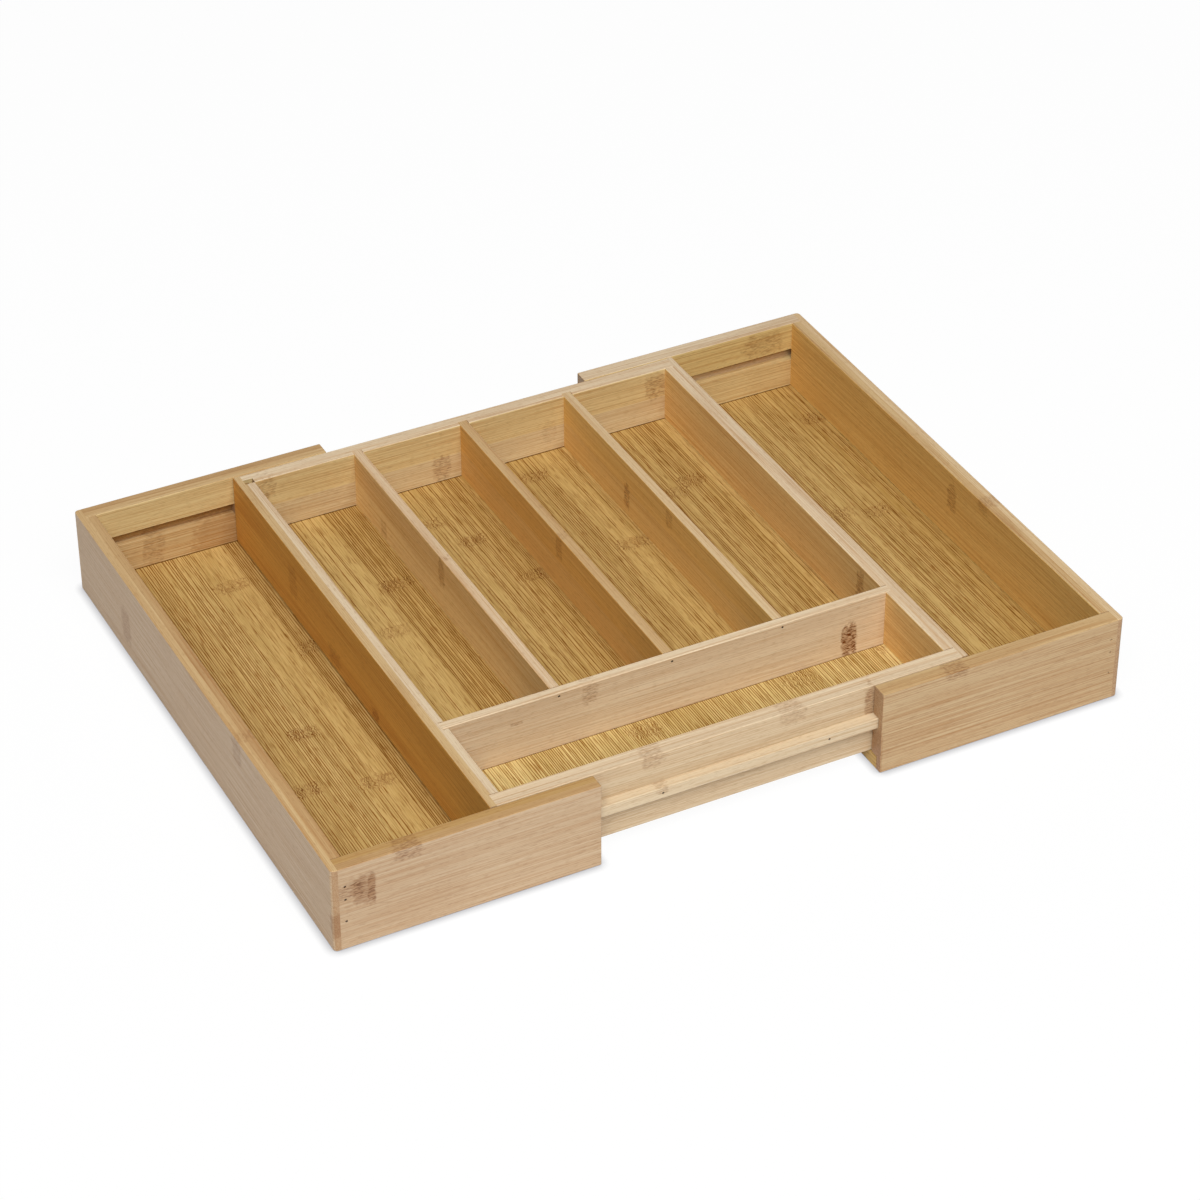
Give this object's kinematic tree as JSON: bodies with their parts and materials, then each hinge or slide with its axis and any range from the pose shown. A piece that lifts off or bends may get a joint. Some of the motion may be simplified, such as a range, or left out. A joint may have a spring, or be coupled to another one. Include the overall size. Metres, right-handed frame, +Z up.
{
  "type": "extending cutlery tray",
  "caption": "Wooden cutlery tray for a drawer: a divided centre tray with side trays that slide out on tongue and groove rails to fill the drawer's width.",
  "frame": {"origin": "middle of the footprint on the table, with both extensions drawn out", "axes": "+X along the length, the way the extensions slide; +Y from front to back; +Z up"},
  "size_m": [0.486, 0.37, 0.054],
  "materials": {
    "bamboo_wall": "laminated bamboo, sanded and thinly lacquered",
    "bamboo_divider": "laminated bamboo, sanded and thinly lacquered",
    "bamboo_floor": "strip bamboo panel, sanded and thinly lacquered",
    "bamboo_rail": "planed bamboo strip",
    "steel_brad": "bright drawn wire, dulled"
  },
  "bodies": {
    "centre_tray": {"centre_floor": "bamboo_floor", "centre_front_wall": "bamboo_wall", "centre_back_wall": "bamboo_wall", "centre_left_wall": "bamboo_wall", "centre_right_wall": "bamboo_wall", "cross_divider": "bamboo_divider", "left_long_divider": "bamboo_divider", "middle_long_divider": "bamboo_divider", "right_long_divider": "bamboo_divider", "front_slide_rail": "bamboo_rail", "back_slide_rail": "bamboo_rail", "front_rail_brads": "steel_brad", "back_rail_brads": "steel_brad", "divider_brads": "steel_brad", "centre_corner_brads": "steel_brad", "centre_floor_brads": "steel_brad"},
    "left_extension": {"left_floor": "bamboo_floor", "left_end_wall": "bamboo_wall", "left_front_wall": "bamboo_wall", "left_back_wall": "bamboo_wall", "left_corner_brads": "steel_brad", "left_floor_brads": "steel_brad"},
    "right_extension": {"right_floor": "bamboo_floor", "right_end_wall": "bamboo_wall", "right_front_wall": "bamboo_wall", "right_back_wall": "bamboo_wall", "right_corner_brads": "steel_brad", "right_floor_brads": "steel_brad"}
  },
  "joints": [
    {"name": "left_slide", "type": "slide", "parent": "centre_tray", "child": "left_extension", "axis": [1, 0, 0], "range_m": [0, 0.0855]},
    {"name": "right_slide", "type": "slide", "parent": "centre_tray", "child": "right_extension", "axis": [-1, 0, 0], "range_m": [0, 0.0855]}
  ]
}
